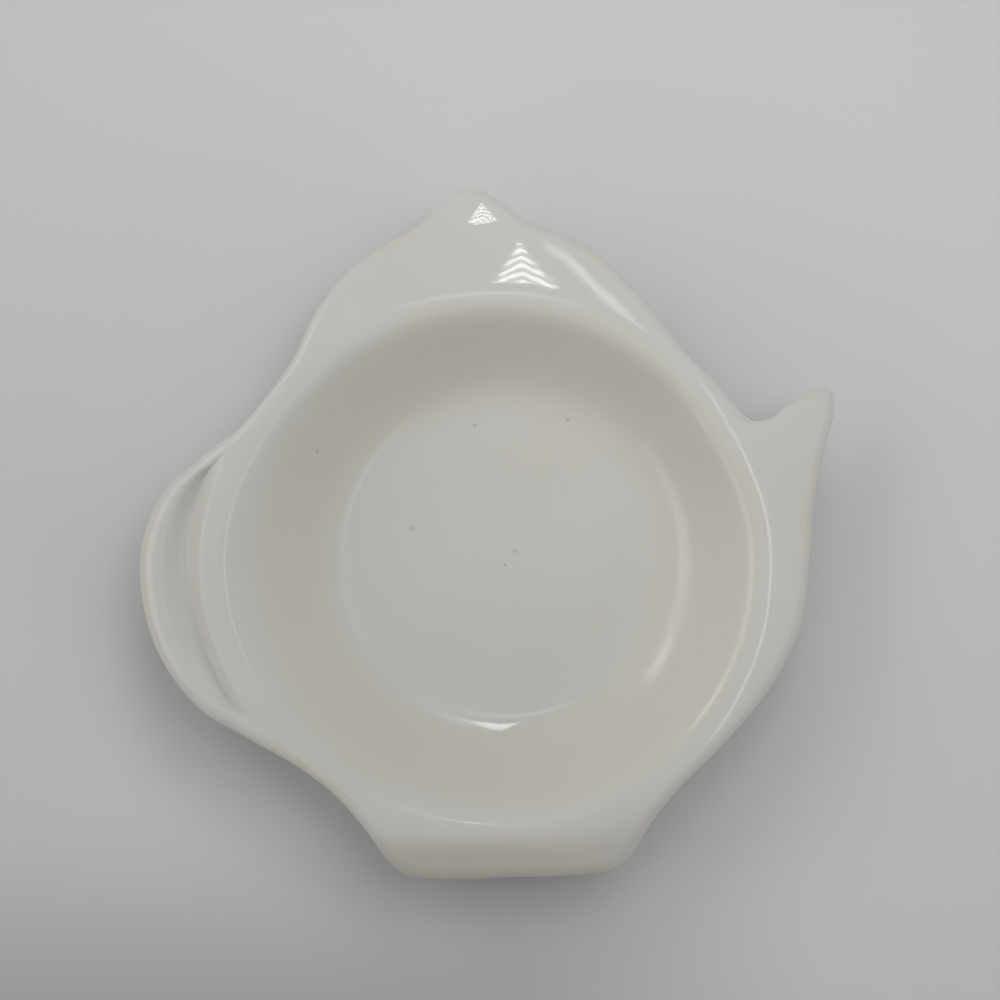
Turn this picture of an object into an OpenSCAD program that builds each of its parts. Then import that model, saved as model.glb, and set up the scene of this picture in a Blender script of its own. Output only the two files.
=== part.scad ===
// Tea bag rest: a small glazed dish cast in the outline of a teapot.
// The middle of the foot ring rests on the origin, +X runs to the spout, +Y to the knob.

/* [Well] */
// Diameter of the well, across the crest of its lip
well_d = 86; // [82:1:94]
// Diameter of the flat floor of the well
floor_d = 49; // [42:1:54]
// Depth of the well, from the crest of the lip to the floor
well_depth = 10.5; // [8:0.5:13]
// Radius that blends the floor into the wall of the well
floor_round = 14; // [6:1:18]

/* [Casting] */
// Thickness of the fired casting
wall = 4; // [3:0.25:5]
// Radius in the corner under the lip
under_lip_round = 2; // [1:0.5:3]
// Width of the lip from its crest to the outline where the dish is narrowest
rim_w = 2; // [1.5:0.25:4]
// Width over which the upper edge rounds over
edge_w = 4; // [2:0.25:5]
// Drop of the upper edge where it rounds over
edge_drop = 2; // [1:0.25:2.5]

/* [Outline] */
// Reach of the knob beyond the narrowest outline
knob_reach = 18.5; // [14:0.5:24]
// Reach of the handle beyond the narrowest outline
handle_reach = 14.5; // [11:0.5:18]
// Reach of the foot's corners beyond the narrowest outline
foot_reach = 8.5; // [6:0.5:11]
// Reach of the spout's tip beyond the narrowest outline
spout_reach = 16.5; // [12:0.5:20]

/* [Handle and knob] */
// Depth of the crescent hollow in the handle
hollow_depth = 3.25; // [1:0.25:5]
// Width of the land between the well's crest and the hollow
land_w = 3.5; // [2:0.25:4.5]
// Width of the bow between the hollow and the outline
bow_w = 2; // [1:0.25:3]
// Rise of the knob over the lid
knob_rise = 1.25; // [0.5:0.25:2]
// Width of the knob's dome
knob_w = 14; // [10:0.5:18]
// Length of the knob's dome, from the lid outward
knob_l = 9; // [7:0.5:12]

/* [Foot ring] */
// Outer diameter of the bare ring that the dish rests on
ring_d = 56; // [50:1:64]
// Width of the foot ring
ring_w = 3.25; // [2:0.25:5]
// Height of the foot ring under the base
ring_h = 1.5; // [1:0.25:3]
// Chamfer along the foot ring's edges
ring_chamfer = 0.5; // [0.25:0.25:0.9]

/* [Hidden] */
well_r = well_d / 2;
floor_r = floor_d / 2;
ring_r = ring_d / 2;
pot_r = well_r + rim_w;
lip_round = wall + under_lip_round;
base_z = ring_h;
floor_z = base_z + wall;
crest_z = floor_z + well_depth;

// Angles by which the flange falls away outside the lip, in degrees
lid_fall = 5;
handle_fall = 8;
foot_fall = 28;
spout_fall = 6;

// The outline, counter clockwise from the notch behind the spout, as rows of [direction, share of
// the reach]. A handle row adds the share of the hollow's depth there. A spout row adds the
// direction of its root on the lip, because the spout sweeps back over the lip.
lid_shares = [
    [29, 0.03], [37, 0], [46, 0], [55, 0.12], [62.5, 0.26], [70.5, 0.45], [79, 0.57], [85, 0.68],
    [88.5, 0.85], [93, 1], [98, 0.9], [102.5, 0.72], [108.5, 0.63], [116.5, 0.53], [126, 0.35],
    [135, 0.16], [144, 0.12]
];
handle_shares = [
    [153, 0.24, 0], [160, 0.5, 0.25], [168, 0.84, 0.9], [177, 1, 1], [186, 0.99, 1],
    [195, 0.9, 0.95], [205, 0.69, 0.7], [215, 0.36, 0.1], [224, 0.17, 0], [233, 0.14, 0]
];
foot_shares = [
    [241.5, 0.49], [247.5, 0.87], [251, 0.99], [256.5, 0.92], [269, 0.76], [281.5, 0.88],
    [287, 0.95], [290.5, 0.83], [296.5, 0.43]
];
spout_shares = [
    [305, 0.09, 305], [316, 0.08, 315], [325, 0.12, 323], [334, 0.19, 331], [344, 0.25, 340],
    [356, 0.28, 349], [366, 0.37, 357], [375, 0.6, 364], [381.5, 0.91, 370], [384.7, 1, 373.5],
    [386, 0.9, 376], [386, 0.53, 380], [385.2, 0.26, 383.5], [386.3, 0.09, 387]
];

// Direction of the knob, and the share of its length that lies inside the outline's tip
knob_direction = 93;
knob_inside_share = 0.35;
// Share of the hollow's width at which it is deepest, from the well's side
valley_share = 0.36;
// Largest share of the room between floor and crest that the floor's radius may take
round_limit_share = 0.98;
// Share of the wall's thickness that the foot ring is sunk into the base
sunk_share = 0.4;

// Counts: outline steps a row, then rings on each stretch of the section, then sides of the foot ring
row_steps = 2;
floor_steps = 6;
lip_steps = 4;
flange_steps = 11;
edge_steps = 4;
under_edge_steps = 3;
under_flange_steps = 4;
under_lip_steps = 2;
base_steps = 4;
ring_sides = 96;

// Section of the well: a flat floor, a round fillet, a straight wall and a round lip
wall_run = well_r - floor_r;
round_limit = (wall_run * wall_run + well_depth * well_depth) / (2 * well_depth) * round_limit_share;
fillet = min(floor_round, round_limit - lip_round);
rounds = fillet + lip_round;
straight_wall = sqrt(wall_run * wall_run + well_depth * well_depth - 2 * rounds * well_depth);
wall_angle = atan2(well_depth - rounds, wall_run) + atan2(rounds, straight_wall);

// Points [radius, height] of the well's surface, from the floor's edge to the crest
function well_section(steps_up, steps_over, grown = 0) = concat(
    [for (i = [0:steps_up]) let (a = wall_angle * i / steps_up)
        [floor_r + (fillet + grown) * sin(a), floor_z + fillet - (fillet + grown) * cos(a)]],
    [for (i = [0:steps_over]) let (a = wall_angle * (1 - i / steps_over))
        [well_r - (lip_round - grown) * sin(a), crest_z - lip_round + (lip_round - grown) * cos(a)]]
);

// One row of the outline: [x, y, direction of its root, fall, share of the hollow's depth]
function outline_row(direction, r, root, fall, hollow_share = 0) =
    [r * cos(direction), r * sin(direction), root, fall, hollow_share];

rows = concat(
    [for (s = lid_shares) outline_row(s[0], pot_r + s[1] * knob_reach, s[0], lid_fall)],
    [for (s = handle_shares) outline_row(s[0], pot_r + s[1] * handle_reach, s[0], handle_fall, s[2])],
    [for (s = foot_shares) outline_row(s[0], pot_r + s[1] * foot_reach, s[0], foot_fall)],
    [for (s = spout_shares) outline_row(s[0], pot_r + s[1] * spout_reach, s[2], spout_fall)]
);
row_count = len(rows);
full_turn = [0, 0, 360, 0, 0];

// A row by its number, where the numbers go on past both ends of the closed outline
function row(i) = i < 0 ? rows[i + row_count] - full_turn
    : i >= row_count ? rows[i - row_count] + full_turn : rows[i];

// A smooth curve through four rows, from the second to the third, as t runs from 0 to 1
function knot(p, q) = sqrt(norm([q[0] - p[0], q[1] - p[1]]));
function between(p, q, from, to, at) = ((to - at) * p + (at - from) * q) / (to - from);
function curve(p0, p1, p2, p3, t) = let (
        k1 = knot(p0, p1),
        k2 = k1 + knot(p1, p2),
        k3 = k2 + knot(p2, p3),
        k = k1 + (k2 - k1) * t,
        a1 = between(p0, p1, 0, k1, k),
        a2 = between(p1, p2, k1, k2, k),
        a3 = between(p2, p3, k2, k3, k),
        b1 = between(a1, a2, 0, k2, k),
        b2 = between(a2, a3, k1, k3, k)
    ) between(b1, b2, k1, k2, k);

outline = [for (i = [0:row_count - 1], j = [0:row_steps - 1])
    curve(row(i - 1), row(i), row(i + 1), row(i + 2), j / row_steps)];

// Drop of the flange's surface, at a distance from the crest
function flange_drop(s, fall) = let (f = max(fall, 0), turn = lip_round * sin(f))
    s < turn ? lip_round - sqrt(lip_round * lip_round - s * s)
    : lip_round * (1 - cos(f)) + (s - turn) * tan(f);

// A smooth step from 0 to 1
function ease(t) = (1 - cos(180 * min(max(t, 0), 1))) / 2;

// Depth of the handle's hollow, at a distance from the crest on a spoke of a given length
function hollow(s, length, share) = let (
        span = length - land_w - bow_w,
        t = span > 0 ? (s - land_w) / span : 0
    ) t <= 0 || t >= 1 ? 0
    : hollow_depth * max(share, 0) * (t < valley_share ? ease(t / valley_share)
    : ease((1 - t) / (1 - valley_share)));

// Rise of the knob's dome over the lid, at a place
knob_r = pot_r + knob_reach - knob_l * knob_inside_share;
function knob(x, y) = let (
        across = (x * sin(knob_direction) - y * cos(knob_direction)) / (knob_w / 2),
        along = (x * cos(knob_direction) + y * sin(knob_direction) - knob_r) / (knob_l / 2)
    ) knob_rise * max(1 - across * across - along * along, 0);

// Width of the rounded edge on a spoke, always less than the spoke itself
function edge_width(length) = edge_w * (1 - exp(-length / edge_w));

// A place on the spoke of an outline row: [x, y, height of the plain flange]
function on_spoke(o, share) = let (
        root = [well_r * cos(o[2]), well_r * sin(o[2])],
        reach = [o[0], o[1]] - root,
        length = norm(reach),
        s = share * length,
        p = root + share * reach
    ) [p[0], p[1], crest_z - flange_drop(s, o[3]) - hollow(s, length, o[4])];

function spoke_length(o) = norm([o[0] - well_r * cos(o[2]), o[1] - well_r * sin(o[2])]);
function raised(p, rise) = [p[0], p[1], p[2] + rise];

// One ring of points for each stretch of the section, all counter clockwise
function round_ring(p) = [for (o = outline) [p[0] * cos(o[2]), p[0] * sin(o[2]), p[1]]];
function flange_ring(i) = [for (o = outline) let (
        length = spoke_length(o),
        p = on_spoke(o, (1 - edge_width(length) / length) * i / flange_steps)
    ) raised(p, knob(p[0], p[1]))];
function edge_ring(i, steps, height, under) = [for (o = outline) let (
        length = spoke_length(o),
        a = 90 * i / steps,
        p = on_spoke(o, 1 - edge_width(length) / length * (1 - sin(a)))
    ) raised(p, under ? height * (1 - cos(a)) - wall : knob(p[0], p[1]) * cos(a) - height * (1 - cos(a)))];
function under_ring(i) = [for (o = outline) let (length = spoke_length(o))
    raised(on_spoke(o, (1 - edge_width(length) / length) * i / under_flange_steps), -wall)];

upper_section = well_section(floor_steps, lip_steps);
lower_section = well_section(base_steps, under_lip_steps, wall);
last_lower = len(lower_section) - 1;

rings = concat(
    [for (p = upper_section) round_ring(p)],
    [for (i = [1:flange_steps]) flange_ring(i)],
    [for (i = [1:edge_steps]) edge_ring(i, edge_steps, edge_drop, false)],
    [for (i = [under_edge_steps - 1:-1:0]) edge_ring(i, under_edge_steps, wall - edge_drop, true)],
    [for (i = [under_flange_steps - 1:-1:1]) under_ring(i)],
    [for (i = [last_lower:-1:0]) round_ring(lower_section[i])]
);

// The casting: the rings joined by triangles, closed by a fan on the floor and one on the base
module casting() {
    spokes = len(outline);
    count = len(rings);
    middle_up = count * spokes;
    middle_down = middle_up + 1;
    points = concat([for (ring = rings, p = ring) p], [[0, 0, floor_z], [0, 0, base_z]]);
    faces = concat(
        [for (j = [0:spokes - 1]) [middle_up, (j + 1) % spokes, j]],
        [for (i = [0:count - 2], j = [0:spokes - 1])
            [i * spokes + j, i * spokes + (j + 1) % spokes, (i + 1) * spokes + (j + 1) % spokes]],
        [for (i = [0:count - 2], j = [0:spokes - 1])
            [i * spokes + j, (i + 1) * spokes + (j + 1) % spokes, (i + 1) * spokes + j]],
        [for (j = [0:spokes - 1])
            [middle_down, (count - 1) * spokes + j, (count - 1) * spokes + (j + 1) % spokes]]
    );
    polyhedron(points = points, faces = faces, convexity = 6);
}

// The foot ring: a turned ring with a chamfer along each lower edge, sunk into the base
module foot_ring() {
    inner = ring_r - ring_w;
    top = base_z + wall * sunk_share;
    rotate_extrude($fn = ring_sides)
        polygon([
            [inner, ring_chamfer],
            [inner + ring_chamfer, 0],
            [ring_r - ring_chamfer, 0],
            [ring_r, ring_chamfer],
            [ring_r, top],
            [inner, top]
        ]);
}

module dish_body() {
    color("whitesmoke")
        union() {
            casting();
            foot_ring();
        }
}

dish_body();
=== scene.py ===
# %% [markdown]
# # A tea bag rest in the outline of a teapot
#
# The real dish is one casting of white clay, dipped in a clear glossy glaze and fired. The packed
# model gives its solid, its size and its place on the table. This script gives it the soft,
# slightly uneven skin of a fired casting, its glaze, and a camera and lamps like those of a plain
# room. Sizes are written in millimetres and turned into metres, Blender's unit, where they are
# used.

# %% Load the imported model
import math

import bpy
from mathutils import Matrix, Vector


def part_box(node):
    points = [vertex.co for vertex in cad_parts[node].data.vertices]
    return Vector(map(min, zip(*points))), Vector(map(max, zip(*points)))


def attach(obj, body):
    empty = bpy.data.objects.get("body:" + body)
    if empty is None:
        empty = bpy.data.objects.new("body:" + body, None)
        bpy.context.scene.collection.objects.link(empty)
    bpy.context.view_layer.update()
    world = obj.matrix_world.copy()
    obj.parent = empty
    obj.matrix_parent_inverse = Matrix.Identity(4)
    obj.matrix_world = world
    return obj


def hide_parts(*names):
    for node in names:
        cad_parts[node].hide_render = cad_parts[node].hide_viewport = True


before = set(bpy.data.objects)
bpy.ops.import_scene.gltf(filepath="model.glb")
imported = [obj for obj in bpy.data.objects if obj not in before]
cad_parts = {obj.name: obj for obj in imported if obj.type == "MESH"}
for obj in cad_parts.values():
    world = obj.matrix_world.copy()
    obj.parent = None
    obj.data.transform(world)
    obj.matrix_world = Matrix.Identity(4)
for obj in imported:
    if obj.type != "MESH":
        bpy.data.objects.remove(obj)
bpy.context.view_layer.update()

MM = 0.001
low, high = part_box("dish_body")
print("solid, in mm:", [round(side / MM, 1) for side in high - low])

# %% [markdown]
# ## Sizes
#
# The sizes are those of the casting, with its origin on the table under the middle of the well.
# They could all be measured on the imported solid, but a few driving sizes are easier to read and to
# change. The crest of the lip is the highest line of the dish, so its height is read from the
# solid. The floor lies a well's depth below it, and the base a wall's thickness below the floor.

# %% Sizes of the casting
well_r = 43              # crest of the lip
floor_r = 24.5           # flat of the floor
well_depth = 10.5        # from the crest to the floor
floor_round = 14         # between the floor and the wall of the well
wall = 4                 # thickness of the casting
under_lip_round = 2      # in the corner under the lip
rim_w = 2                # from the crest to the outline, where the dish is narrowest

crest_z = high.z / MM
floor_z = crest_z - well_depth
base_z = floor_z - wall
pot_r = well_r + rim_w
lip_round = wall + under_lip_round
print("crest, floor and base at", round(crest_z, 2), round(floor_z, 2), round(base_z, 2), "mm")

# %% [markdown]
# ## The outline
#
# Seen from above, the dish is a teapot: a lid with its knob, a handle, a foot and a spout, all
# reaching out of a round pot. It could be drawn by hand as one long curve, but then no size in it
# could be changed. So each reach is one size, and each point of the outline is a direction in
# degrees and a share of that reach. A spout point also says where its spoke starts on the lip,
# because the spout sweeps back over it, and a handle point says how deep the hollow is there.

# %% Points of the outline
knob_reach = 18.5
handle_reach = 14.5
foot_reach = 8.5
spout_reach = 16.5

# Angles by which the flange falls away outside the lip
lid_fall = math.radians(3.5)
handle_fall = math.radians(8)
foot_fall = math.radians(28)
spout_fall = math.radians(6)

# Direction, share of the reach
lid_shares = [
    (29, 0.03), (37, 0), (46, 0), (55, 0.12), (62.5, 0.26), (70.5, 0.45), (79, 0.57), (85, 0.68),
    (88.5, 0.85), (93, 1), (98, 0.9), (102.5, 0.72), (108.5, 0.63), (116.5, 0.53), (126, 0.35),
    (135, 0.16), (144, 0.12),
]
# Direction, share of the reach, share of the hollow's depth
handle_shares = [
    (153, 0.24, 0), (160, 0.5, 0.25), (168, 0.84, 0.9), (177, 1, 1), (186, 0.99, 1),
    (195, 0.9, 0.95), (205, 0.69, 0.7), (215, 0.36, 0.1), (224, 0.17, 0), (233, 0.14, 0),
]
# Direction, share of the reach
foot_shares = [
    (241.5, 0.49), (247.5, 0.87), (251, 0.99), (256.5, 0.92), (269, 0.76), (281.5, 0.88),
    (287, 0.95), (290.5, 0.83), (296.5, 0.43),
]
# Direction, share of the reach, direction of the root on the lip
spout_shares = [
    (305, 0.09, 305), (316, 0.08, 315), (325, 0.12, 323), (334, 0.19, 331), (344, 0.25, 340),
    (356, 0.28, 349), (366, 0.37, 357), (375, 0.6, 364), (381.5, 0.91, 370), (384.7, 1, 373.5),
    (386, 0.9, 376), (386, 0.53, 380), (385.2, 0.26, 383.5), (386.3, 0.09, 387),
]


def outline_row(direction, r, root, fall, hollow=0):
    """One row: x, y, direction of its root on the lip, fall of the flange, share of the hollow."""
    turn = math.radians(direction)
    return Vector((r * math.cos(turn), r * math.sin(turn), math.radians(root), fall, hollow))


rows = [outline_row(d, pot_r + share * knob_reach, d, lid_fall) for d, share in lid_shares]
rows += [outline_row(d, pot_r + share * handle_reach, d, handle_fall, hollow)
         for d, share, hollow in handle_shares]
rows += [outline_row(d, pot_r + share * foot_reach, d, foot_fall) for d, share in foot_shares]
rows += [outline_row(d, pot_r + share * spout_reach, root, spout_fall)
         for d, share, root in spout_shares]
print("rows of the outline:", len(rows))

# %% [markdown]
# ## A smooth curve through the points
#
# A mould maker files such an outline until no corner is left, so a smooth curve runs through the
# points. It carries the whole row along, and so the fall and the hollow fade from part to part as
# smoothly as the outline does. The curve's knots are spaced by the root of each chord, which keeps
# it from overshooting at the knob and at the tip of the spout, as an evenly spaced curve would.

# %% The curve
points_a_row = 12


def row(number):
    """A row by its number, which may run on past either end of the closed outline."""
    turns, place = divmod(number, len(rows))
    return rows[place] + Vector((0, 0, turns * math.tau, 0, 0))


def knot(p, q):
    """The spacing of the knots between two rows."""
    return math.sqrt(math.dist(p[:2], q[:2]))


def between(p, q, start, end, at):
    """What lies on the straight line from p at the start to q at the end."""
    return ((end - at) * p + (at - start) * q) / (end - start)


def curve_point(number, t):
    """A point of the smooth curve between two rows, as t runs from 0 to 1."""
    p0, p1, p2, p3 = (row(number + step) for step in (-1, 0, 1, 2))
    k1 = knot(p0, p1)
    k2 = k1 + knot(p1, p2)
    k3 = k2 + knot(p2, p3)
    at = k1 + (k2 - k1) * t
    a1 = between(p0, p1, 0, k1, at)
    a2 = between(p1, p2, k1, k2, at)
    a3 = between(p2, p3, k2, k3, at)
    return between(between(a1, a2, 0, k2, at), between(a2, a3, k1, k3, at), k1, k2, at)


outline = [curve_point(number, step / points_a_row)
           for number in range(len(rows)) for step in range(points_a_row)]
print("outline:", len(outline), "points from", len(rows), "rows")

# %% [markdown]
# ## The section
#
# Cut the casting along a spoke and the cut shows one closed line: over the floor, up the wall of
# the well, over the lip, out along the flange, round its edge, and back underneath to the foot
# ring. The line is written once, as arcs and straight stretches. Over the well only its radii
# count: the heights there differ from side to side, so the nodes work them out. A stretch on the
# flange has no fixed length, so its points carry shares of the spoke instead, and the nodes stretch
# them to the outline.

# %% Stretches of the section
COLUMNS = ("flange", "edge", "under", "bare")


def line(start, end, steps, **more):
    """Points of a straight stretch, without its first one."""
    return [dict(more, radius=start[0] + (end[0] - start[0]) * i / steps,
                 height=start[1] + (end[1] - start[1]) * i / steps) for i in range(1, steps + 1)]


def arc(centre, radius, start, end, steps, **more):
    """Points of an arc, without its first one. Angles are in degrees from the outward direction."""
    turns = [math.radians(start + (end - start) * i / steps) for i in range(1, steps + 1)]
    return [dict(more, radius=centre[0] + radius * math.cos(turn),
                 height=centre[1] + radius * math.sin(turn)) for turn in turns]


def flange(steps):
    """Points along the flange, in even shares of the spoke's plain part."""
    return [dict(radius=well_r, height=crest_z, flange=i / steps) for i in range(1, steps + 1)]


def edge(steps):
    """Points round the edge, closer together towards the outline, where it curves most."""
    return [dict(radius=well_r, height=crest_z, flange=1, edge=math.sin(math.pi / 2 * i / steps))
            for i in range(1, steps + 1)]


def backwards(stretch, **end):
    """A stretch run the other way, without the point that it would start from."""
    return stretch[-2::-1] + [dict(end, radius=well_r, height=crest_z)]


def ends(stretch):
    """The radius and height at which a stretch ends, for the next one to start from."""
    return stretch[-1]["radius"], stretch[-1]["height"]


# %% Angle of the wall underneath, and the rounds that it runs into
ring_r = 28
ring_w = 3.25
ring_round = 0.6         # along the ring's edges
ring_root_round = 0.8    # where the ring grows out of the base

wall_run = well_r - floor_r
rounds = floor_round + lip_round
slant = math.sqrt(wall_run ** 2 + well_depth ** 2 - 2 * rounds * well_depth)
wall_lean = math.atan2(well_depth - rounds, wall_run) + math.atan2(rounds, slant)
wall_angle = math.degrees(wall_lean)
fillet_centre = (floor_r, floor_z + floor_round)
lip_centre = (well_r, crest_z - lip_round)
bowl_round = floor_round + wall
bowl_start = (floor_r + bowl_round * math.sin(wall_lean),
              fillet_centre[1] - bowl_round * math.cos(wall_lean))
root_x = ring_r + ring_root_round
root_z = fillet_centre[1] - math.sqrt((bowl_round + ring_root_round) ** 2 - (root_x - floor_r) ** 2)
root_angle = math.degrees(math.atan2(root_z - fillet_centre[1], root_x - floor_r))
ring_in = ring_r - ring_w
print("wall at", round(wall_angle, 1), "degrees, foot ring", 2 * ring_r, "mm across")

# %% The whole section, from the middle of the floor to the middle of the base
round_from = 22          # from here the points lie closer, for the rounding of the floor
lip_from = 37            # and from here closer still, for the roll of the lip

over = [dict(radius=0)] + line((0, 0), (round_from, 0), steps=10)
over += line((round_from, 0), (lip_from, 0), steps=18) + line((lip_from, 0), (well_r, 0), steps=24)
over += flange(steps=28) + edge(steps=12)
under_edge = backwards(edge(steps=8), flange=1)
under_flange = backwards(flange(steps=12))
under_lip = arc(lip_centre, under_lip_round, 90, 90 + wall_angle, steps=6)
bowl = arc(fillet_centre, bowl_round, -90 + wall_angle, root_angle, steps=8)
under_wall = line(ends(under_lip), bowl_start, steps=6)
ring_root = arc((root_x, root_z), ring_root_round, 180 + root_angle, 180, steps=4)
ring_side = line(ends(ring_root), (ring_r, ring_round), steps=2)
ring_out = arc((ring_r - ring_round, ring_round), ring_round, 0, -90, steps=5, bare=1)
ring_flat = line(ends(ring_out), (ring_in + ring_round, 0), steps=3, bare=1)
ring_turn = arc((ring_in + ring_round, ring_round), ring_round, -90, -180, steps=5, bare=1)
recess_side = line(ends(ring_turn), (ring_in, base_z - ring_round), steps=2)
recess_round = arc((ring_in - ring_round, base_z - ring_round), ring_round, 0, 90, steps=4)
recess = line(ends(recess_round), (0, base_z), steps=6)

below = [dict(point, height=crest_z - wall) for point in under_edge + under_flange]
below += under_lip + under_wall + bowl + ring_root + ring_side + ring_out + ring_flat
below += ring_turn + recess_side + recess_round + recess
section = over + [dict(point, under=1) for point in below]
print("section:", len(section), "points")

# %% [markdown]
# ## The well, side by side
#
# The well isn't quite even, as a hand-finished mould leaves it. At the handle its wall is flatter
# and rolls softly into the ridge beside the hollow, at the foot it ends in a tight lip, and it is
# steepest between the spout and the lid. One section turned round the middle would miss all this.
# So the wall's line is given for each side: where it would meet the height of the lip and the
# height of the floor, and how far to either side both corners are rounded off.

# %% Sizes of the well by direction
WELL = ("lip_meet", "floor_meet", "lip_reach", "floor_reach")
# Direction in degrees, then the sizes in the order of WELL
well_sides = [
    (0, 40.2, 29.5, 2.6, 6), (28, 38.9, 30, 2.6, 6.5), (45, 39.7, 30.3, 2.6, 7),
    (90, 40.7, 30.6, 2.8, 7.5), (135, 42.4, 29.5, 3.1, 6.5), (180, 45.2, 28, 2.9, 4.5),
    (225, 44, 28, 2.2, 8), (265, 43, 28.5, 0.8, 10), (305, 41.4, 29, 2, 9),
    (360, 40.2, 29.5, 2.6, 6),
]


def well_size(name, direction):
    """One size of the well in millimetres, eased from side to side."""
    turn = math.degrees(direction) % 360
    place = 1 + WELL.index(name)
    for a, b in zip(well_sides, well_sides[1:]):
        if turn <= b[0]:
            t = (turn - a[0]) / (b[0] - a[0])
            ease = (1 - math.cos(math.pi * t)) / 2
            return a[place] + (b[place] - a[place]) * (t + ease) / 2


for name in WELL:
    print(name, [round(well_size(name, math.radians(d)), 1) for d in range(0, 360, 45)])

# %% [markdown]
# ## Sums as nodes
#
# Geometry and shaders are both worked out by small nodes, and a long sum is hard to read as a list
# of them. A Field wraps one socket, so that ordinary arithmetic on it adds the node that does the
# work. The Nodes class adds every other kind of node with one method.

# %% Fields and nodes
class Field:
    """One output socket of a node tree, with the arithmetic that continues from it."""

    def __init__(self, nodes, socket):
        self.nodes = nodes
        self.socket = socket

    def math(self, operation, *others):
        """The result of a math node, or of a vector math node, that starts from this field."""
        kind = "ShaderNodeVectorMath" if self.socket.type == "VECTOR" else "ShaderNodeMath"
        return self.nodes.add(kind, {"operation": operation}, dict(enumerate((self, *others))))

    def __add__(self, other):
        return self.math("ADD", other)

    def __sub__(self, other):
        return self.math("SUBTRACT", other)

    def __rsub__(self, other):
        return self.nodes.add("ShaderNodeMath", {"operation": "SUBTRACT"}, {0: other, 1: self})

    def __mul__(self, other):
        if self.socket.type == "VECTOR":
            return self.nodes.add("ShaderNodeVectorMath", {"operation": "SCALE"},
                                  {0: self, "Scale": other})
        return self.math("MULTIPLY", other)

    def __truediv__(self, other):
        return self.math("DIVIDE", other)

    def __pow__(self, other):
        return self.math("POWER", other)

    __radd__ = __add__

    def kept(self, lowest=0, highest=1):
        """The field, held between two limits."""
        return self.math("MAXIMUM", lowest).math("MINIMUM", highest)

    def ramp(self, start, width):
        """0 up to the start, then rising to 1 over the width, which runs back if it is negative."""
        return ((self - start) / width).kept()

    def part(self, axis):
        """One coordinate of a vector field."""
        return self.nodes.add("ShaderNodeSeparateXYZ", {}, {0: self}, axis)

    def out(self, name):
        """Another output of the node that this field comes from."""
        return Field(self.nodes, self.socket.node.outputs[name])


class Nodes:
    """Adds nodes to one tree: settings first, then the values or links of the sockets."""

    def __init__(self, tree):
        self.tree = tree

    def add(self, kind, settings=None, values=None, output=None):
        """The first output of a new node, or its output of the given name."""
        node = self.tree.nodes.new(kind)
        for name, value in (settings or {}).items():
            setattr(node, name, value)
        for key, value in (values or {}).items():
            if isinstance(value, Field):
                self.tree.links.new(value.socket, node.inputs[key])
            else:
                node.inputs[key].default_value = value
        shown = [s for s in node.outputs if s.enabled and output in (None, s.name)]
        return Field(self, shown[0]) if shown else None

    def vector(self, x, y, z):
        """A vector field from three numbers or fields."""
        return self.add("ShaderNodeCombineXYZ", {}, {0: x, 1: y, 2: z})


# %% [markdown]
# ## Sweeping the section round the outline
#
# The whole casting follows one rule, so Geometry Nodes make it: each point of the outline gets a
# spoke from the lip, and the section is laid along every spoke. Sculpting it would look as soft,
# but no size could be changed afterwards. The tree takes its sizes as named inputs.

# %% The sizes that the tree takes
knob_past = 1.5          # how far past the outline the knob's dome has its middle

sizes = {
    "Crest Radius": well_r * MM,
    "Crest Height": crest_z * MM,
    "Well Depth": well_depth * MM,
    "Lip Round Share": 8,
    "Crown Radius": 140 * MM,
    "Wall": wall * MM,
    "Edge Width": 4 * MM,
    "Edge Round": 2 * MM,
    "Edge Drop": 1.3 * MM,
    "Under Edge Round": 2.4 * MM,
    "Land Width": 1.3 * MM,
    "Hollow Side Width": 2.3 * MM,
    "Bow Width": 2.6 * MM,
    "Hollow Depth": 2.6 * MM,
    "Knob Direction": math.radians(95.5),
    "Knob Centre": (pot_r + knob_reach + knob_past) * MM,
    "Knob Width": 28 * MM,
    "Knob Length": 18.8 * MM,
    "Knob Rise": 0.6 * MM,
    "Ripple Height": 0.1 * MM,
    "Ripple Scale": 60,
    "Ripple Seed": 3.0,
}
print("the tree takes", len(sizes), "sizes")


# %% [markdown]
# ## The grid, laid along the spokes
#
# The tree starts from a grid that is as many points wide as the outline and as many points high as
# the section. It looks both up for every point of the grid, and moves the point to its place. The
# wall of the well is a straight climb, blended into the floor and into the crest by a smooth
# maximum and a smooth minimum, which leave no seam as joined arcs would. What the later steps need
# is stored on the points.

# %% Laying the section
MERGE_DISTANCE = MM / 1000


def named(nodes, name):
    """A number that is stored on the points under a name."""
    return nodes.add("GeometryNodeInputNamedAttribute", {"data_type": "FLOAT"}, {"Name": name})


def look_up(nodes, geometry, value, index, kind="FLOAT"):
    """The value at one point of another geometry."""
    return nodes.add("GeometryNodeSampleIndex", {"data_type": kind},
                     {"Geometry": geometry, "Value": value, "Index": index})


def store(nodes, geometry, name, value):
    """The geometry, with a number stored on its points under a name."""
    return nodes.add("GeometryNodeStoreNamedAttribute", {"data_type": "FLOAT"},
                     {"Geometry": geometry, "Name": name, "Value": value})


def well_height(given, radius, meets, reaches):
    """Height of the well's surface at a radius, from the floor up to the crest."""
    (lip_meet, floor_meet), (lip_reach, floor_reach) = meets, reaches
    crest_height = given.out("Crest Height")
    slope = given.out("Well Depth") / (lip_meet - floor_meet)
    climb = crest_height - (lip_meet - radius) * slope
    lifted = climb.math("SMOOTH_MAX", crest_height - given.out("Well Depth"), floor_reach * slope)
    return lifted.math("SMOOTH_MIN", crest_height, lip_reach * slope)


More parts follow.
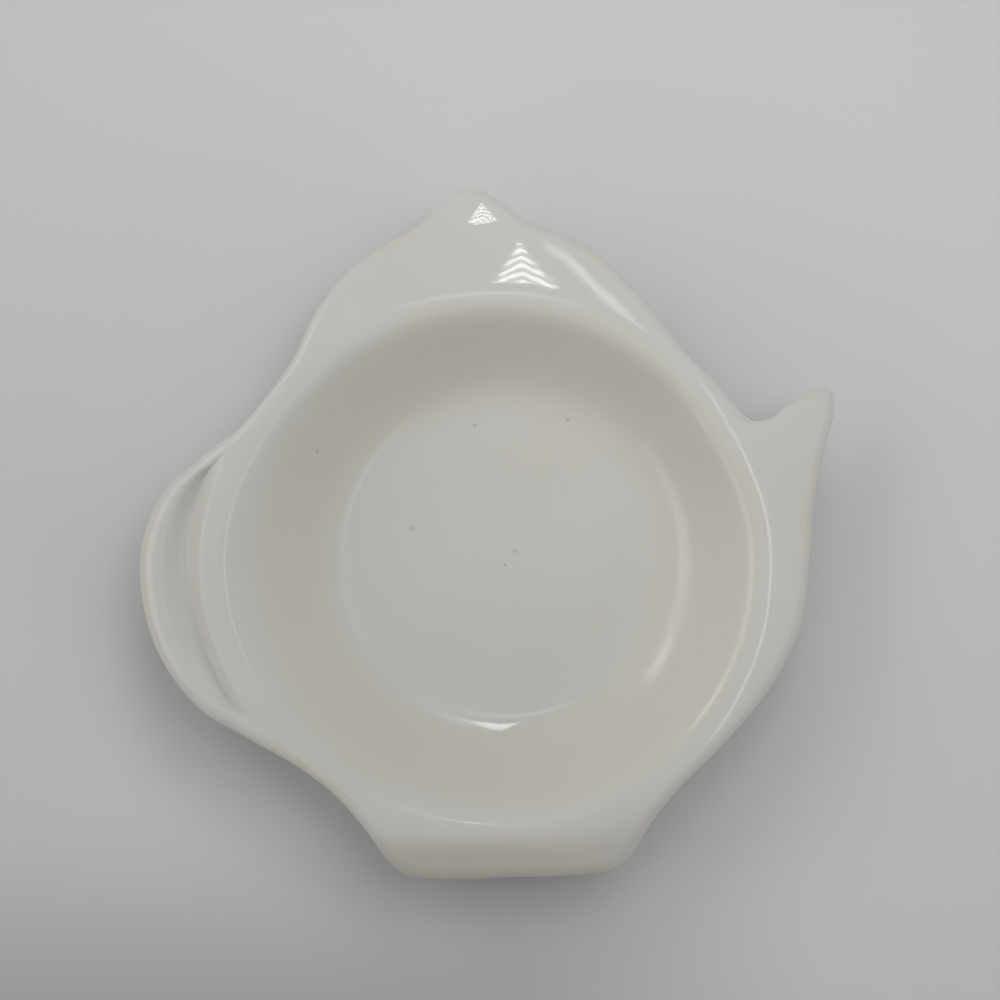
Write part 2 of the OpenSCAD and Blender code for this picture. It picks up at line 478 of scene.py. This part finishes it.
def lay_section(nodes, given, position):
    """The grid, moved to its places along the spokes, with what the later steps need stored."""
    outline_points = given.out("Geometry")
    section_points = nodes.add("GeometryNodeObjectInfo", {}, {"Object": given.out("Section")},
                               "Geometry")
    spokes, rings = (nodes.add("GeometryNodeAttributeDomainSize", {}, {0: points}, "Point Count")
                     for points in (outline_points, section_points))
    grid = nodes.add("GeometryNodeMeshGrid", {}, {"Size X": spokes, "Size Y": rings - 1,
                                                  "Vertices X": spokes + 1, "Vertices Y": rings},
                     "Mesh")
    spoke_number = (position.part("X") + spokes / 2).math("ROUND").math("MODULO", spokes)
    ring_number = (position.part("Y") + (rings - 1) / 2).math("ROUND")

    root, fall, hollow = (look_up(nodes, outline_points, named(nodes, name), spoke_number)
                          for name in ("root", "fall", "hollow"))
    lip_meet, floor_meet, lip_reach, floor_reach = (
        look_up(nodes, outline_points, named(nodes, name), spoke_number) for name in WELL)
    flange_share, edge_share, under, bare = (
        look_up(nodes, section_points, named(nodes, name), ring_number) for name in COLUMNS)
    tip = look_up(nodes, outline_points, position, spoke_number, "FLOAT_VECTOR")
    at = look_up(nodes, section_points, position, ring_number, "FLOAT_VECTOR")

    crest_radius = lip_meet + lip_reach
    given_radius, edge_width = given.out("Crest Radius"), given.out("Edge Width")
    radius = at.part("X") + (crest_radius - given_radius) * (at.part("X") / given_radius) ** 3
    top = well_height(given, radius, (lip_meet, floor_meet), (lip_reach, floor_reach))
    height = top * (1 - under) + at.part("Z") * under

    along_x, along_y = root.math("COSINE"), root.math("SINE")
    spoke = tip - nodes.vector(along_x * crest_radius, along_y * crest_radius, 0)
    length = spoke.math("LENGTH")
    edge_part = edge_width / length * (1 - (0 - length / edge_width).math("EXPONENT"))
    share = flange_share * (1 - edge_part) + edge_share * edge_part
    place = nodes.vector(along_x * radius, along_y * radius, height) + spoke * share

    geometry = grid
    for name, value in (("from_crest", length * share), ("length", length), ("fall", fall),
                        ("hollow", hollow), ("lip", lip_reach), ("under", under), ("bare", bare)):
        geometry = store(nodes, geometry, name, value)
    geometry = nodes.add("GeometryNodeSetPosition", {}, {"Geometry": geometry, "Position": place})
    return nodes.add("GeometryNodeMergeByDistance", {},
                     {"Geometry": geometry, "Distance": MERGE_DISTANCE})


# %% [markdown]
# ## Flange, hollow and knob
#
# On the real dish the flange falls away from the lip, the handle has a hollow for the fingers, and
# the knob turns up a little. Each of these is a drop or a rise of the flat flange, worked out from
# where a point lies on its spoke, so they add up and none has to know of the others.

# %% Drops and rises
SIDE_BLEND = 0.3         # how softly the hollow's steep side starts
SLOPE_BLEND = 0.35       # how softly it turns into the long rise to the bow
DOME_BLEND = 0.06        # how softly the knob's dome starts


def flange_drop(nodes, given):
    """How far the flange has dropped at a point: round the lip first, then in a straight fall."""
    fall = named(nodes, "fall")
    s = named(nodes, "from_crest")
    lip_radius = named(nodes, "lip") * given.out("Lip Round Share")
    turn = lip_radius * fall.math("SINE")
    round_part = s.math("MINIMUM", turn)
    over_lip = lip_radius - (lip_radius * lip_radius - round_part * round_part).math("SQRT")
    crown = s * s / given.out("Crown Radius") / 2
    return over_lip + (s - turn).math("MAXIMUM", 0) * fall.math("TANGENT") + crown


def hollow_drop(nodes, given):
    """Depth of the handle's hollow: a steep side by the well, and a long soft rise to the bow."""
    from_crest = named(nodes, "from_crest")
    s = from_crest - given.out("Land Width")
    span = named(nodes, "length") - given.out("Land Width") - given.out("Bow Width")
    steep = (s / given.out("Hollow Side Width")).math("SMOOTH_MAX", 0, SIDE_BLEND)
    gentle = ((span - s) / (span - given.out("Hollow Side Width")).math("MAXIMUM", MM)).kept()
    gentle = (1 - (gentle * math.pi).math("COSINE")) / 2
    depth = steep.math("SMOOTH_MIN", gentle, SLOPE_BLEND).math("MAXIMUM", 0)
    depth = depth * (from_crest / MM).kept()
    return depth * named(nodes, "hollow").kept() * given.out("Hollow Depth")


def knob_rise(nodes, given, position):
    """Rise of the knob's dome over the lid."""
    turn = given.out("Knob Direction")
    x, y = position.part("X"), position.part("Y")
    across = (x * turn.math("SINE") - y * turn.math("COSINE")) / given.out("Knob Width") * 2
    out = x * turn.math("COSINE") + y * turn.math("SINE") - given.out("Knob Centre")
    along = out / given.out("Knob Length") * 2
    inside = (1 - across * across - along * along).math("SMOOTH_MAX", 0, DOME_BLEND)
    return inside * given.out("Knob Rise")


def quarter_round(distance, width):
    """0 inside the edge's width, rising along a quarter of an ellipse to 1 at the outline."""
    inward = (1 - distance / width).kept()
    return 1 - (1 - inward * inward).math("SQRT")


# %% [markdown]
# ## The edge, the ripple and the whole tree
#
# The edge is rounded by its true distance to the outline. That is what lets the narrow lip and the
# tip of the spout taper like a finger, where a bevel of one width would collide with itself. Last,
# a slow ripple sinks the whole skin a little, as glaze and firing do. The tree ends in a plain mesh
# with its material.

# %% The tree
EDGE_BLUR_STEPS = 8
RIPPLE_DETAIL = 1.5
HELPERS = ("from_crest", "length", "fall", "hollow", "lip", "under")


def new_tree():
    """An empty tree with its sockets: a geometry, an object, a material and the sizes."""
    tree = bpy.data.node_groups.new("sweep_section", "GeometryNodeTree")
    face = tree.interface
    face.new_socket("Geometry", in_out="INPUT", socket_type="NodeSocketGeometry")
    face.new_socket("Section", in_out="INPUT", socket_type="NodeSocketObject")
    face.new_socket("Material", in_out="INPUT", socket_type="NodeSocketMaterial")
    for name in sizes:
        face.new_socket(name, in_out="INPUT", socket_type="NodeSocketFloat")
    face.new_socket("Geometry", in_out="OUTPUT", socket_type="NodeSocketGeometry")
    return tree


def measure_edge(nodes, given, geometry, position):
    """The geometry, with each point's distance to the outline stored, seen from above."""
    flat = nodes.vector(position.part("X"), position.part("Y"), 0)
    reach = nodes.add("GeometryNodeProximity", {"target_element": "EDGES"},
                      {0: given.out("Geometry"), "Sample Position": flat}, "Distance")
    smooth = nodes.add("GeometryNodeBlurAttribute", {"data_type": "FLOAT"},
                       {"Value": reach, "Iterations": EDGE_BLUR_STEPS})
    return store(nodes, geometry, "to_outline", reach.math("MINIMUM", smooth))


def total_rise(nodes, given, position):
    """How far a point of the flat flange rises, with all drops, the knob and the edge counted."""
    under = named(nodes, "under")
    to_outline = named(nodes, "to_outline")
    over_edge = quarter_round(to_outline, given.out("Edge Round"))
    under_edge = quarter_round(to_outline, given.out("Under Edge Round"))
    knob = knob_rise(nodes, given, position) * (1 - over_edge)
    lowered = given.out("Edge Drop") * over_edge - knob
    raised = (given.out("Wall") - given.out("Edge Drop")) * under_edge
    at_edge = raised * under - lowered * (1 - under)
    return at_edge - flange_drop(nodes, given) - hollow_drop(nodes, given)


def ripple(nodes, given, position):
    """The small step that a point sinks into the skin, except on the wiped foot ring."""
    wave = nodes.add("ShaderNodeTexNoise", {"noise_dimensions": "4D"},
                     {"Vector": position, "W": given.out("Ripple Seed"),
                      "Scale": given.out("Ripple Scale"), "Detail": RIPPLE_DETAIL}, "Fac")
    sink = (wave - 1) * given.out("Ripple Height") * (1 - named(nodes, "bare"))
    return nodes.add("GeometryNodeInputNormal") * sink


def build_sweep():
    """The whole tree: the section laid out, shaped, rippled and given its material."""
    tree = new_tree()
    nodes = Nodes(tree)
    given = nodes.add("NodeGroupInput")
    position = nodes.add("GeometryNodeInputPosition")
    geometry = lay_section(nodes, given, position)
    geometry = measure_edge(nodes, given, geometry, position)
    shift = nodes.vector(0, 0, total_rise(nodes, given, position))
    geometry = nodes.add("GeometryNodeSetPosition", {}, {"Geometry": geometry, "Offset": shift})
    geometry = nodes.add("GeometryNodeFlipFaces", {}, {"Mesh": geometry})
    geometry = nodes.add("GeometryNodeSetPosition", {},
                         {"Geometry": geometry, "Offset": ripple(nodes, given, position)})
    for name in HELPERS:
        geometry = nodes.add("GeometryNodeRemoveAttribute", {},
                             {"Geometry": geometry, "Name": name})
    geometry = nodes.add("GeometryNodeSetShadeSmooth", {},
                         {"Geometry": geometry, "Shade Smooth": True})
    geometry = nodes.add("GeometryNodeRealizeInstances", {}, {"Geometry": geometry})
    geometry = nodes.add("GeometryNodeSetMaterial", {},
                         {"Geometry": geometry, "Material": given.out("Material")})
    nodes.add("NodeGroupOutput", {}, {0: geometry})
    return tree


tree = build_sweep()
print("tree:", len(tree.nodes), "nodes,", len(tree.links), "links")

# %% [markdown]
# ## The glaze
#
# Fired clay is a matt, slightly warm white. The clear glaze over it is glass: a hard, smooth coat
# that reflects the lamps. It is dipped, so it is never quite even: it ripples, lies a little thin
# over the edges, where the warmer clay shows through, and traps a few dark specks. The walls of the
# well are painted darker, as painted shade, and the foot is painted darker and warmer, also as
# painted shade. Use has dulled the glaze along the left of the floor. The potter wipes it off the
# foot ring, so that the dish doesn't stick in the kiln. A painted texture could show the same, but
# fields of place and noise stay sharp at any distance.

# %% Colours of the glaze
CLAY = (0.655, 0.645, 0.605, 1)
CLOUD = (0.635, 0.62, 0.57, 1)
# painted shade: the walls of the well are painted darker
WELL_SHADE = (0.62, 0.605, 0.55, 1)
WARM = (0.64, 0.61, 0.53, 1)
# painted shade: the foot is painted darker and warmer
FOOT_SHADE = (0.60, 0.563, 0.50, 1)
BARE = (0.60, 0.56, 0.50, 1)
SPECK = (0.16, 0.12, 0.085, 1)

# Scales of the noise fields, in waves a metre
CLOUD_SCALE = 45
WAVE_SCALE = 260
GRAIN_SCALE = 900

CLOUD_START = 0.35       # level of the noise at which a cloud begins
CLOUD_DEPTH = 2          # how fast it deepens from there
THIN_DEPTH = 1.8         # how fast the thin glaze shows, where it is cloudy
SPECK_DEPTH = 0.4        # how dark a speck gets
SPECK_RAG = 2.2          # how much the grain breaks a speck up
SPECK_CUT = 0.1          # and how much it takes away
RING_RAG = 0.8           # how ragged the glaze ends at the foot ring
RING_START = 0.35        # where the bare clay begins
RING_DEPTH = 3           # and how fast
print("clouds are about", round(1 / (CLOUD_SCALE * MM)), "mm wide")

# %% Places on the glaze
thin_w = 1.8             # width of the thin glaze along the outline
well_shade_in = 8              # width over which the painted shade on the walls starts, outside the floor
well_shade_out = 5             # width over which it ends, inside the lip
foot_shade_y = -well_r - 1     # where the painted shade on the foot starts
foot_shade_fade = 4
foot_shade_x = 20              # and how far it reaches towards the spout
worn_x = -3              # where the dull glaze on the left of the floor starts
worn_fade = 8
worn_r = 26              # the middle of the dull line
worn_w = 5

# Place of each dark speck, and its radius
specks = [
    (-15.5, 6, 0.6), (1.8, 1.5, 0.5), (0, -0.8, 0.36), (-4.3, 23.5, 0.5), (11.7, 23.9, 0.45),
    (-30.7, 18.7, 0.45),
]
print("specks:", len(specks))


# %% Fields on the glaze
def mix(nodes, factor, first, second):
    """A colour between two others."""
    made = nodes.add("ShaderNodeMix", {"data_type": "RGBA"}, {0: factor, 6: first, 7: second})
    return Field(nodes, made.socket.node.outputs[2])


def noise(nodes, where, scale, detail=2):
    """A field of soft noise."""
    return nodes.add("ShaderNodeTexNoise", {},
                     {"Vector": where, "Scale": scale, "Detail": detail}, "Fac")


def stored(nodes, name):
    """A number that the mesh carries under a name, as a shader reads it."""
    return nodes.add("ShaderNodeAttribute", {"attribute_name": name}, {}, "Fac")


def speck_field(x, y, grain):
    """1 in the middle of each speck, fading out ragged to its radius."""
    mark = 0
    for speck_x, speck_y, radius in specks:
        distance = ((x - speck_x) ** 2 + (y - speck_y) ** 2).math("SQRT")
        mark = mark + distance.ramp(radius, -radius)
    return (mark * (grain * SPECK_RAG - SPECK_CUT)).kept()


def glaze_colour(nodes, where, cloud, grain, bare):
    """The colour of the glaze, with painted shade on the well's walls and the foot, and how worn it
    is, from where a point lies on the dish.
    """
    x, y = where.part("X") / MM, where.part("Y") / MM
    radius = (x ** 2 + y ** 2).math("SQRT")
    cloudy = cloud - CLOUD_START
    thin = (stored(nodes, "to_outline") / MM).ramp(thin_w, -thin_w) * cloudy.kept() * THIN_DEPTH
    # where the walls of the well get their painted shade
    well_shade = radius.ramp(floor_r, well_shade_in) * radius.ramp(well_r, -well_shade_out)
    # where the foot gets its painted shade
    foot_shade = y.ramp(foot_shade_y, -foot_shade_fade) * x.ramp(foot_shade_x, -foot_shade_x)
    worn = x.ramp(worn_x, -worn_fade) * (radius - worn_r).math("ABSOLUTE").ramp(worn_w, -worn_w)

    colour = mix(nodes, (cloudy * CLOUD_DEPTH).kept(), CLAY, CLOUD)
    # painted shade on the walls of the well
    colour = mix(nodes, well_shade, colour, WELL_SHADE)
    colour = mix(nodes, thin.kept(), colour, WARM)
    # painted shade on the foot
    colour = mix(nodes, foot_shade, colour, FOOT_SHADE)
    colour = mix(nodes, speck_field(x, y, grain) * SPECK_DEPTH, colour, SPECK)
    return mix(nodes, bare, colour, BARE), worn


# %% Glazed ceramic
GLOSS_ROUGH = 0.03       # the roughness of fresh glaze, and what is added
CLOUD_ROUGH = 0.02       # in a cloud
WORN_ROUGH = 0.2         # where use has dulled it
BARE_ROUGH = 0.7         # and on bare clay
wave_depth = 0.01        # fine waves in the gloss
grain_depth = 0.05       # grain of the bare clay
grain_strength = 0.5


def glaze_material():
    """Clay under a clear gloss, with clouds, painted shade on the walls and the foot, thin edges,
    specks and a bare ring.
    """
    material = bpy.data.materials.new("glazed_ceramic")
    material.use_nodes = True
    nodes = Nodes(material.node_tree)
    shader = material.node_tree.nodes["Principled BSDF"]
    where = nodes.add("ShaderNodeTexCoord").out("Object")
    cloud = noise(nodes, where, CLOUD_SCALE)
    grain = noise(nodes, where, GRAIN_SCALE)
    bare_level = stored(nodes, "bare") + (grain - 0.5) * RING_RAG
    bare = ((bare_level - RING_START) * RING_DEPTH).kept()
    colour, worn = glaze_colour(nodes, where, cloud, grain, bare)
    rough = GLOSS_ROUGH + cloud * CLOUD_ROUGH + worn * WORN_ROUGH + bare * BARE_ROUGH

    wave = noise(nodes, where, WAVE_SCALE, 1)
    bump = nodes.add("ShaderNodeBump", {},
                     {"Strength": 1, "Distance": wave_depth * MM, "Height": wave})
    bump = nodes.add("ShaderNodeBump", {},
                     {"Strength": grain_strength, "Distance": grain_depth * MM,
                      "Height": grain * bare, "Normal": bump})
    for field, socket in ((colour, "Base Color"), (rough, "Roughness"), (bump, "Normal")):
        material.node_tree.links.new(field.socket, shader.inputs[socket])
    return material


glaze = glaze_material()
print("glaze:", len(glaze.node_tree.nodes), "nodes")

# %% [markdown]
# ## From the tree to a plain mesh
#
# The outline becomes a ring of points and the section a string of points, each with what the tree
# looks up as attributes. The tree's result is then kept as an ordinary mesh, because the model is
# handed on without its modifiers.

# %% Build the dish
def string_of_points(name, places, columns, closed):
    """An object of points joined by edges, with a number for each point in each named column."""
    mesh = bpy.data.meshes.new(name)
    count = len(places)
    edges = [(i, (i + 1) % count) for i in range(count if closed else count - 1)]
    mesh.from_pydata(places, edges, [])
    for column, numbers in columns.items():
        mesh.attributes.new(column, "FLOAT", "POINT").data.foreach_set("value", numbers)
    made = bpy.data.objects.new(name, mesh)
    bpy.context.scene.collection.objects.link(made)
    return made


columns = {name: [p[place] for p in outline]
           for place, name in ((2, "root"), (3, "fall"), (4, "hollow"))}
for name in WELL:
    columns[name] = [well_size(name, direction) * MM for direction in columns["root"]]
places = [(p[0] * MM, p[1] * MM, 0) for p in outline]
dish = string_of_points("dish_body_glazed", places, columns, closed=True)

section_columns = {name: [p.get(name, 0) for p in section] for name in COLUMNS}
places = [(p["radius"] * MM, 0, p.get("height", 0) * MM) for p in section]
profile = string_of_points("section", places, section_columns, closed=False)

sweep = dish.modifiers.new("sweep", "NODES")
sweep.node_group = tree
sockets = {item.name: item.identifier for item in tree.interface.items_tree
           if item.in_out == "INPUT"}
sweep[sockets["Section"]] = profile
sweep[sockets["Material"]] = glaze
for name, value in sizes.items():
    sweep[sockets[name]] = value

bpy.context.view_layer.update()
evaluated = dish.evaluated_get(bpy.context.evaluated_depsgraph_get())
made = bpy.data.meshes.new_from_object(evaluated)
dish.modifiers.remove(sweep)
dish.data = made
bpy.data.objects.remove(profile)
print("dish:", len(made.vertices), "points,", len(made.polygons), "faces,",
      [round(side / MM, 2) for side in dish.dimensions], "mm")

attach(dish, "root")
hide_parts("dish_body")

# %% [markdown]
# ## The table
#
# The dish stands on a pale, matt worktop. It is only a stage, so it is one large flat sheet, with a
# soft shade over its near side, where someone stands in the light. A body that casts that shade
# would darken the dish too, so the shade is a colour of the sheet.

# %% Worktop
PALE = (0.66, 0.665, 0.66, 1)
SHADE = (0.48, 0.483, 0.48, 1)
shade_start = 38         # how far in front of the middle the shade starts
shade_reach = 40         # over which width it deepens
shade_end = 50           # how far it reaches towards the spout, fading all the way
shade_far = 170          # how far it reaches at most
shade_fade = 70          # over which width it ends there
TABLE_HALF = 3           # metres
TABLE_ROUGH = 0.75


def worktop():
    """A large sheet at the height of the table."""
    size = TABLE_HALF
    mesh = bpy.data.meshes.new("worktop")
    mesh.from_pydata([(-size, -size, 0), (size, -size, 0), (size, size, 0), (-size, size, 0)], [],
                     [(0, 1, 2, 3)])
    material = bpy.data.materials.new("pale_worktop")
    material.use_nodes = True
    shader = material.node_tree.nodes["Principled BSDF"]
    shader.inputs["Roughness"].default_value = TABLE_ROUGH
    nodes = Nodes(material.node_tree)
    where = nodes.add("ShaderNodeTexCoord").out("Object")
    x, y = where.part("X") / MM, where.part("Y") / MM
    near = y.ramp(-shade_start, -shade_reach)
    within = x.ramp(shade_end, -shade_end) * x.ramp(-shade_far, shade_fade)
    within = within * y.ramp(-shade_far, shade_fade)
    colour = mix(nodes, near * near * (3 - near * 2) * within, PALE, SHADE)
    material.node_tree.links.new(colour.socket, shader.inputs["Base Color"])
    mesh.materials.append(material)
    made = bpy.data.objects.new("worktop", mesh)
    bpy.context.scene.collection.objects.link(made)
    return made


table = worktop()
print("worktop:", [round(side, 1) for side in table.dimensions[:2]], "m")

# %% [markdown]
# ## The camera
#
# The camera looks down at the dish from ten degrees off the vertical, on the foot's side, as
# someone would who stands at the table. A view from straight above would hide how the well deepens.

# %% Camera
view_tilt = math.radians(10)
view_turn = math.radians(2)
view_distance = 236.4
aim = Vector((-0.5, 8.45, crest_z)) * MM
sensor_mm = 36
focal_share = 1.457      # focal length as a share of the sensor's width

forward = Vector((math.sin(view_turn) * math.sin(view_tilt),
                  math.cos(view_turn) * math.sin(view_tilt), -math.cos(view_tilt)))
right = Vector((math.cos(view_turn), -math.sin(view_turn), 0))
up = right.cross(forward)
camera_data = bpy.data.cameras.new("camera")
camera_data.sensor_width = sensor_mm
camera_data.lens = sensor_mm * focal_share
camera_data.clip_start = 10 * MM
camera = bpy.data.objects.new("camera", camera_data)
camera.matrix_world = (Matrix.Translation(aim - forward * view_distance * MM)
                       @ Matrix((right, up, -forward)).transposed().to_4x4())
bpy.context.scene.collection.objects.link(camera)
bpy.context.scene.camera = camera
print("camera at", [round(c / MM, 1) for c in camera.location], "mm")

# %% [markdown]
# ## The lamps
#
# A glossy glaze mirrors the room, so its highlights say as much about its shape as its shading
# does. One big lamp would give the right brightness and the wrong highlights. So two kinds of lamp
# share the work. Near panels over the dish and low lamps round it give the broad, soft light, and
# stay out of the gloss. The glaze mirrors the others alone: a gable window behind a blind, which
# draws the striped fan on the lid and its image on the knob, a diffuser for the band over the well,
# a strip for the lid's edge, a long ceiling strip for the line on the lip, and two soft windows on
# the handle's side.

# %% Kinds of lamp
LAMP_HEIGHT = 0.55
NEAR = 0.3
FAR = 1.2


def soft_edges(u, v):
    """A lamp that fades out towards its edges, as a lit cloth does, so that no edge is mirrored."""
    return (1 - u * u).kept() * (1 - v * v).kept()


def lattice(u, v):
    """A lamp that shines within a triangle, crossed by bars, like a gable window with a blind."""
    bars = 6                 # from the sill to the top
    bar_lean = 0.25          # how much they rise to either side
    bar_contrast = 3
    gap_share = 0.3          # more than 0 makes the gaps wider than the bars
    through = 0.15           # what a bar lets through
    gable_contrast = 8
    side, far = u.math("ABSOLUTE"), v / 2 + 0.5
    gable = ((1 - far - side) * gable_contrast).kept()
    wave = ((far + side * bar_lean) * (math.tau * bars)).math("SINE")
    return gable * (wave * bar_contrast + gap_share).kept(through)


def lamp(name, place, width, length, radiance, pattern=soft_edges):
    """A flat lamp that faces the dish. A radiance of 1 looks as bright as a lit white wall."""
    light = bpy.data.lights.new(name, "AREA")
    light.shape = "RECTANGLE"
    light.size = width
    light.size_y = length
    light.energy = radiance * math.pi * width * length
    light.use_nodes = True
    nodes = Nodes(light.node_tree)
    across = nodes.add("ShaderNodeNewGeometry").out("Parametric")
    strength = pattern(across.part("X") * 2 - 1, across.part("Y") * 2 - 1)
    light.node_tree.links.new(strength.socket, light.node_tree.nodes["Emission"].inputs["Strength"])
    made = bpy.data.objects.new(name, light)
    made.location = place
    made.rotation_euler = place.to_track_quat("Z", "Y").to_euler()
    bpy.context.scene.collection.objects.link(made)
    return made


def overhead(name, x, y, width, length, radiance, turn=0, pattern=soft_edges):
    """A level lamp at the lamp height. Its sizes are shares of that height, so slopes of rays."""
    place = Vector((x, y, 1)) * LAMP_HEIGHT
    made = lamp(name, place, width * LAMP_HEIGHT, length * LAMP_HEIGHT, radiance, pattern)
    made.rotation_euler = (0, 0, math.radians(turn))
    return made


def aside(tilt, azimuth, distance):
    """A place at a distance from the dish, by its tilt off the vertical and its azimuth."""
    lean, turn = math.radians(tilt), math.radians(azimuth)
    level = Vector((math.cos(turn), math.sin(turn), 0)) * math.sin(lean)
    return (level + Vector((0, 0, math.cos(lean)))) * distance


def low_window(name, tilt, azimuth, width, height, radiance, distance=LAMP_HEIGHT):
    """A soft lamp out to the side. Its place, width and height are degrees, seen from the dish."""
    wide, tall = (2 * distance * math.tan(math.radians(angle / 2)) for angle in (width, height))
    return lamp(name, aside(tilt, azimuth, distance), wide, tall, radiance)


# %% Lamps that fill in the shadows
panel_side = NEAR / 2
# Tilt and azimuth in degrees, radiance
near_panels = [
    (20, 0, 1.9), (20, 90, 0.8), (35, 30, 2), (35, 60, 2.6), (50, 0, 1.8), (50, 90, 2.4),
    (50, 135, 1.5),
]
for number, (tilt, azimuth, radiance) in enumerate(near_panels):
    place = aside(tilt, azimuth, NEAR)
    panel = lamp(f"near_panel_{number}", place, panel_side, panel_side, radiance)
    panel.visible_glossy = False

low_tilt = 74
low_size = 23
# Name, azimuth in degrees, radiance, colour
low_lamps = [
    ("low_left", 180, 4.3, (1, 1, 1)), ("low_front", 225, 3.4, (1, 0.96, 0.9)),
    ("low_right", 325, 4.2, (1, 1, 1)),
]
for name, azimuth, radiance, colour in low_lamps:
    window = low_window(name, low_tilt, azimuth, low_size, low_size, radiance, FAR)
    window.data.color = colour
    window.visible_glossy = False
print("lamps out of the gloss:", len(near_panels) + len(low_lamps))

# %% Lamps that the glaze mirrors
# Place across and along, width, length, radiance
overhead("lattice_window", 0.062, 0.68, 0.115, 0.22, 12, pattern=lattice)
overhead("diffuser", 0, 0.4, 0.24, 0.09, 1.8)
overhead("lid_strip", 0.178, 0.62, 0.035, 0.42, 4, turn=22)
overhead("ceiling_strip", 0.29, 0.09, 0.08, 0.78, 2.9)
# Tilt, azimuth, width, height, radiance
low_window("left_window", 49, 167, 66, 30, 1.4)
low_window("left_far", 56, 135, 14, 16, 2)

# %% [markdown]
# ## The rest of the room
#
# Pale walls send a little light back from everywhere, and a bit more from the side of the handle.
# Walls could be built for that, but the world's background does it without any geometry.

# %% Room
ROOM_LIGHT = 0.2
ROOM_TILT = 0.04         # how much more comes from the bright side, and less from the other
toward = Vector((-0.96, -0.28, 0)).normalized()

world = bpy.data.worlds.new("studio")
world.use_nodes = True
room = Nodes(world.node_tree)
direction = room.add("ShaderNodeTexCoord").out("Generated")
light = ROOM_LIGHT + direction.math("DOT_PRODUCT", tuple(toward)) * ROOM_TILT
background = world.node_tree.nodes["Background"]
background.inputs["Color"].default_value = (1, 1, 1, 1)
world.node_tree.links.new(light.socket, background.inputs["Strength"])
bpy.context.scene.world = world
bpy.context.scene.view_settings.view_transform = "Standard"
print("room light:", ROOM_LIGHT, "give or take", ROOM_TILT)
